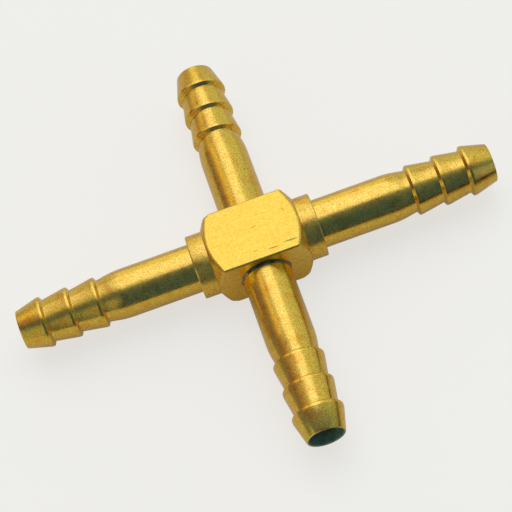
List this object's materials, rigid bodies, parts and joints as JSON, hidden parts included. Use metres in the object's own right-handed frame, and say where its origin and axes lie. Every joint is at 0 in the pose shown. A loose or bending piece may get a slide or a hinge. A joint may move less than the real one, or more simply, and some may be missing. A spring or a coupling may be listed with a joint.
{
  "type": "cross fitting",
  "caption": "Brass hose-tail cross fitting that joins flexible hoses at one bored square block: a turned run with collars, and plain branch tails brazed into its sides.",
  "frame": {"origin": "the point where the run's and the branch's bores cross, at the centre of the block", "axes": "+X along the run towards its right tail, +Y along the branch towards its rear tail, +Z out of the block's top flat"},
  "size_m": [0.065, 0.057, 0.009],
  "materials": {
    "turned_brass": "satin, as machined",
    "silver_braze": "as brazed, dull"
  },
  "bodies": {
    "root": {"run_body": "turned_brass", "branch_tail_front": "turned_brass", "branch_tail_rear": "turned_brass", "braze_ring_front": "silver_braze", "braze_ring_rear": "silver_braze"}
  },
  "joints": []
}
